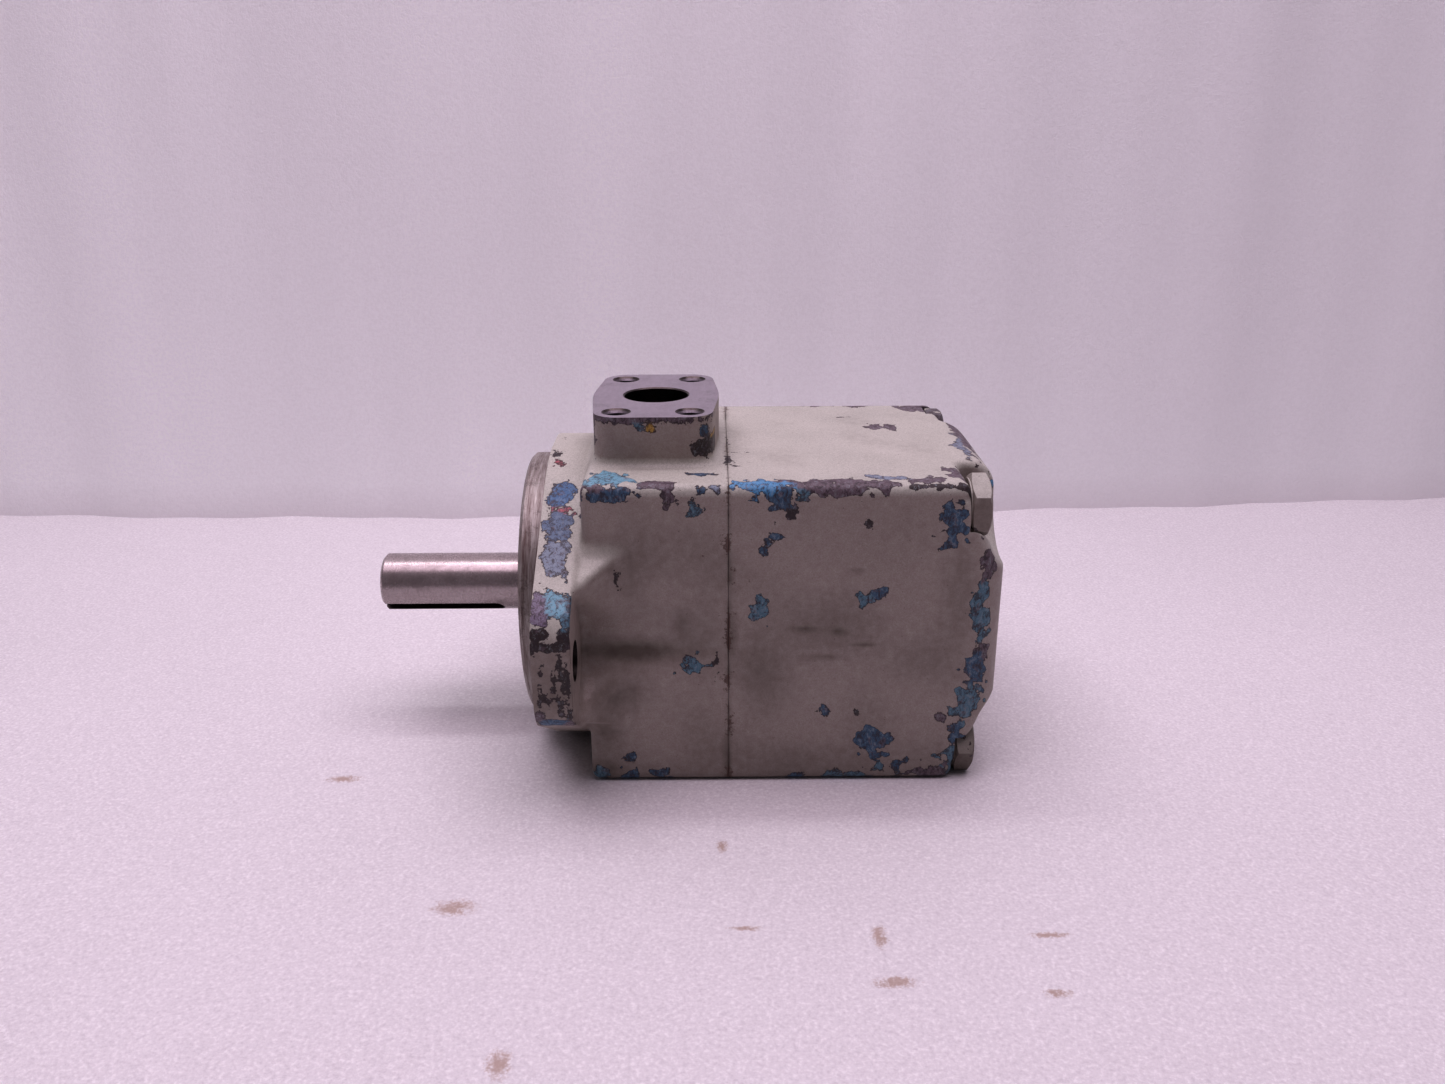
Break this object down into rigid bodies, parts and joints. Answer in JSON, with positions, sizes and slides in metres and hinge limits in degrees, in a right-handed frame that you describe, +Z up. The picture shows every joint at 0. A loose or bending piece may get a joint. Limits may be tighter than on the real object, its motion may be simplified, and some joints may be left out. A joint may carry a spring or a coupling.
{
  "type": "hydraulic motor",
  "caption": "Vane-type hydraulic motor: cast iron body with mounting flange and pilot, keyed output shaft and flanged ports, in chipped grey paint over blue and maroon coats.",
  "frame": {"origin": "centre of the shaft's end face", "axes": "+X along the shaft from its free end to the back of the body, +Z up out of the front port, +Y towards the side with the rear port"},
  "size_m": [0.2324, 0.171, 0.132],
  "materials": {
    "housing_paint": "satin, chipped",
    "screw_paint": "satin",
    "shaft_steel": "ground",
    "ring_steel": "oiled",
    "bearing_steel": "polished",
    "cage_brass": "satin",
    "plate_bronze": "ground",
    "rotor_steel": "ground",
    "seal_rubber": "matte",
    "seal_copper": "dull"
  },
  "bodies": {
    "housing": {"front_housing": "housing_paint", "rear_housing": "housing_paint", "cap_screw_1": "screw_paint", "cap_screw_2": "screw_paint", "cap_screw_3": "screw_paint", "cap_screw_4": "screw_paint", "drain_plug": "screw_paint", "drain_seal": "seal_copper", "housing_snap_ring": "ring_steel", "bearing_outer_race": "bearing_steel", "seal_case": "ring_steel", "seal_lip": "seal_rubber", "seal_garter_spring": "ring_steel", "housing_o_ring": "seal_rubber", "front_port_plate": "plate_bronze", "cam_ring": "rotor_steel", "rear_port_plate": "plate_bronze", "cartridge_screw_1": "ring_steel", "cartridge_screw_2": "ring_steel", "dowel_pin_1": "bearing_steel", "dowel_pin_2": "bearing_steel", "plate_spring": "ring_steel", "rear_bush": "plate_bronze"},
    "shaft_and_rotor": {"shaft": "shaft_steel", "shaft_snap_ring": "ring_steel", "bearing_inner_race": "bearing_steel", "rotor": "rotor_steel", "vane_1": "rotor_steel", "vane_2": "rotor_steel", "vane_3": "rotor_steel", "vane_4": "rotor_steel", "vane_5": "rotor_steel", "vane_6": "rotor_steel", "vane_7": "rotor_steel", "vane_8": "rotor_steel", "vane_9": "rotor_steel", "vane_10": "rotor_steel"},
    "ball_train": {"bearing_cage": "cage_brass", "bearing_ball_1": "bearing_steel", "bearing_ball_2": "bearing_steel", "bearing_ball_3": "bearing_steel", "bearing_ball_4": "bearing_steel", "bearing_ball_5": "bearing_steel", "bearing_ball_6": "bearing_steel", "bearing_ball_7": "bearing_steel", "bearing_ball_8": "bearing_steel", "bearing_ball_9": "bearing_steel"}
  },
  "joints": [
    {"name": "shaft_spin", "type": "hinge", "parent": "housing", "child": "shaft_and_rotor", "pos_m": [0.0709, 0, 0], "axis": [1, 0, 0], "continuous": true},
    {"name": "ball_train_spin", "type": "hinge", "parent": "housing", "child": "ball_train", "pos_m": [0.0709, 0, 0], "axis": [1, 0, 0], "continuous": true}
  ],
  "couplings": [
    {"joint": "ball_train_spin", "follows": "shaft_spin", "ratio": 0.399}
  ]
}
